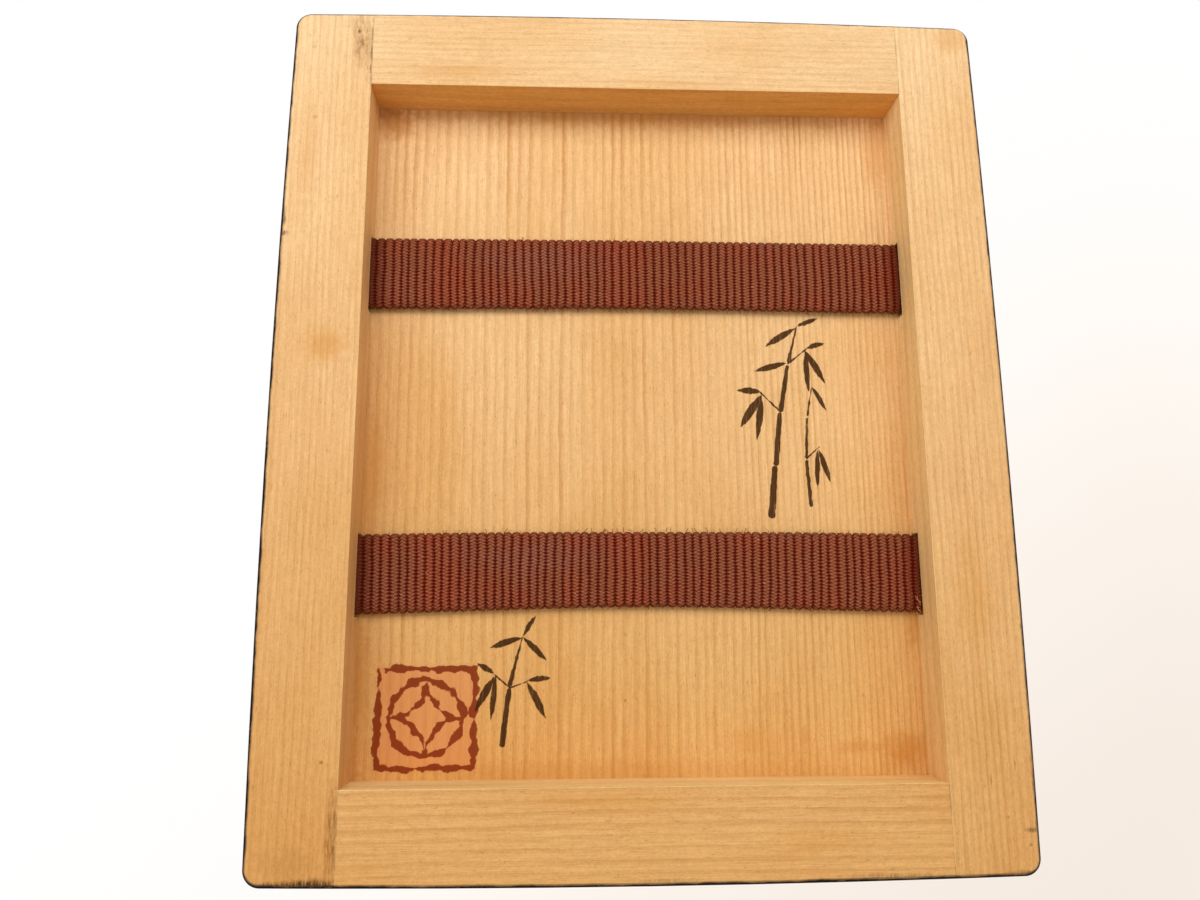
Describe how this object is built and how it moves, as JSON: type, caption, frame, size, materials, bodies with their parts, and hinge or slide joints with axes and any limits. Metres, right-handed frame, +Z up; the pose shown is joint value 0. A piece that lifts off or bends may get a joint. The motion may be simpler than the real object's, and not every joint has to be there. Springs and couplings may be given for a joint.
{
  "type": "incense box",
  "caption": "Wooden box with slightly swelled lacquered sides, a raised bare-wood bottom, a domed lift-off lid and a flat woven ribbon tied round it in a bow.",
  "frame": {"origin": "centre of the whole part's base, at the level of the foot", "axes": "+Z up, X along the ribbon and across the box, Y along the side boards; -Y is the front, where the bow's tails lie"},
  "size_m": [0.0896, 0.104, 0.0793],
  "materials": {
    "lacquered_wood": "black lacquer on the outside, semi-gloss and worn at the edges, bare inside and at the foot",
    "bare_wood": "planed straight-grained softwood, aged to orange tan",
    "peg_wood": "plain hardwood pegs",
    "ribbon": "flat woven ribbon with fine cross ribs, dark reddish brown"
  },
  "bodies": {
    "case": {"side_board_left": "lacquered_wood", "side_board_right": "lacquered_wood", "end_board_front": "lacquered_wood", "end_board_rear": "lacquered_wood", "bottom_board": "bare_wood", "corner_pegs_front_left": "peg_wood", "corner_pegs_front_right": "peg_wood", "corner_pegs_rear_left": "peg_wood", "corner_pegs_rear_right": "peg_wood", "ribbon_bottom_front": "ribbon", "ribbon_bottom_rear": "ribbon", "ribbon_riser_front_left": "ribbon", "ribbon_riser_front_right": "ribbon", "ribbon_riser_rear_left": "ribbon", "ribbon_riser_rear_right": "ribbon"},
    "lid": {"lid_board": "lacquered_wood", "lid_batten_left": "bare_wood", "lid_pegs_left": "peg_wood", "lid_batten_right": "bare_wood", "lid_pegs_right": "peg_wood", "lid_batten_front": "bare_wood", "lid_pegs_front": "peg_wood", "lid_batten_rear": "bare_wood", "lid_pegs_rear": "peg_wood", "ribbon_top_front_left": "ribbon", "ribbon_top_front_right": "ribbon", "ribbon_top_rear_left": "ribbon", "ribbon_top_rear_right": "ribbon", "bow_knot": "ribbon", "bow_loop_left": "ribbon", "bow_loop_right": "ribbon", "bow_tail_left": "ribbon", "bow_tail_right": "ribbon"}
  },
  "joints": [
    {"name": "lid_lift", "type": "slide", "parent": "case", "child": "lid", "axis": [0, 0, 1], "range_m": [0, 0.03], "deforming": ["ribbon_riser_front_left", "ribbon_riser_front_right", "ribbon_riser_rear_left", "ribbon_riser_rear_right"]}
  ]
}
